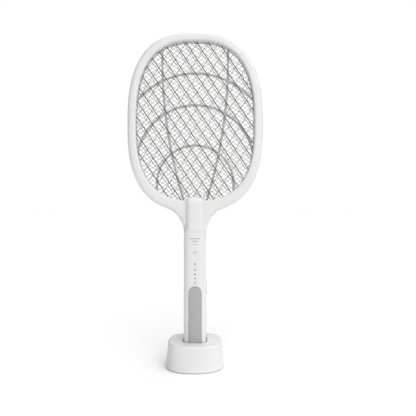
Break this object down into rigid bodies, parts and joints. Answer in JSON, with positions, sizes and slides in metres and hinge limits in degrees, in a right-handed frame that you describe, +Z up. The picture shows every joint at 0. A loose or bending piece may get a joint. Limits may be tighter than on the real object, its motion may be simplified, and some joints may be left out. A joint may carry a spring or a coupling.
{
  "type": "electric fly swatter",
  "caption": "White electric fly swatter with an oval head of layered wire nets, a slim handle with a grey grip and a side button, upright in a charging base.",
  "frame": {"origin": "centre of the base's outline on the floor", "axes": "+Z up, the front with the grip and the indicator lamps faces -Y, the side button is on +X"},
  "size_m": [0.218, 0.074, 0.5365],
  "materials": {
    "white_plastic": "satin white moulded plastic with a fine grain",
    "grip_rubber": "soft matt grey rubber",
    "foot_rubber": "matt dark rubber",
    "spacer_plastic": "light grey moulded plastic",
    "net_steel": "bright drawn wire",
    "rod_steel": "dull drawn wire",
    "screw_steel": "zinc plated",
    "port_steel": "pressed sheet",
    "nickel_tab": "pressed nickel strip",
    "contact_brass": "polished contact plating",
    "circuit_board": "green solder mask",
    "lamp_window": "frosted window",
    "violet_lens": "clear violet lamp body",
    "smoked_lens": "smoked light pipe",
    "sensor_lens": "frosted pale grey window",
    "led_body": "pale lamp body",
    "ferrite_black": "dark ferrite",
    "capacitor_red": "dipped film capacitor",
    "black_plastic": "black moulded plastic",
    "battery_wrap": "shrunk film",
    "red_lead": "insulated lead",
    "black_lead": "insulated lead",
    "switch_white": "switch plunger"
  },
  "bodies": {
    "base": {"base_shell": "white_plastic", "base_bottom_cover": "white_plastic", "base_feet": "foot_rubber", "base_screws": "screw_steel", "base_pcb": "circuit_board", "pin_barrels": "contact_brass", "charging_port": "port_steel"},
    "racket": {"head_front_frame": "white_plastic", "head_back_frame": "white_plastic", "front_net": "net_steel", "front_spacer": "spacer_plastic", "hv_grid": "rod_steel", "rod_carrier": "spacer_plastic", "back_net": "net_steel", "head_screws": "screw_steel", "lamp_lens": "lamp_window", "lamp_board": "circuit_board", "uv_leds": "violet_lens", "grid_leads": "red_lead", "handle_front_shell": "white_plastic", "handle_back_shell": "white_plastic", "grip_inlay": "grip_rubber", "end_cap": "white_plastic", "contact_pads": "contact_brass", "light_pipe": "smoked_lens", "sensor_window": "sensor_lens", "indicator_leds": "led_body", "main_pcb": "circuit_board", "pcb_screws": "screw_steel", "hv_transformer": "ferrite_black", "hv_capacitor": "capacitor_red", "hv_diodes": "black_plastic", "tact_switch": "black_plastic", "battery_cell": "battery_wrap", "battery_tabs": "nickel_tab", "battery_leads": "black_lead", "handle_screws": "screw_steel"},
    "trigger": {"trigger_button": "white_plastic", "switch_plunger": "switch_white"},
    "pin_left": {"charging_pin_left": "contact_brass"},
    "pin_right": {"charging_pin_right": "contact_brass"}
  },
  "joints": [
    {"name": "racket_lift", "type": "slide", "parent": "base", "child": "racket", "axis": [0, 0, 1], "range_m": [0, 0.06]},
    {"name": "trigger_press", "type": "slide", "parent": "racket", "child": "trigger", "axis": [1, 0, 0], "range_m": [-0.0012, 0], "stiffness_N_per_m": 1200},
    {"name": "pin_left_press", "type": "slide", "parent": "base", "child": "pin_left", "axis": [0, 0, 1], "range_m": [-0.0012, 0], "stiffness_N_per_m": 400},
    {"name": "pin_right_press", "type": "slide", "parent": "base", "child": "pin_right", "axis": [0, 0, 1], "range_m": [-0.0012, 0], "stiffness_N_per_m": 400}
  ]
}
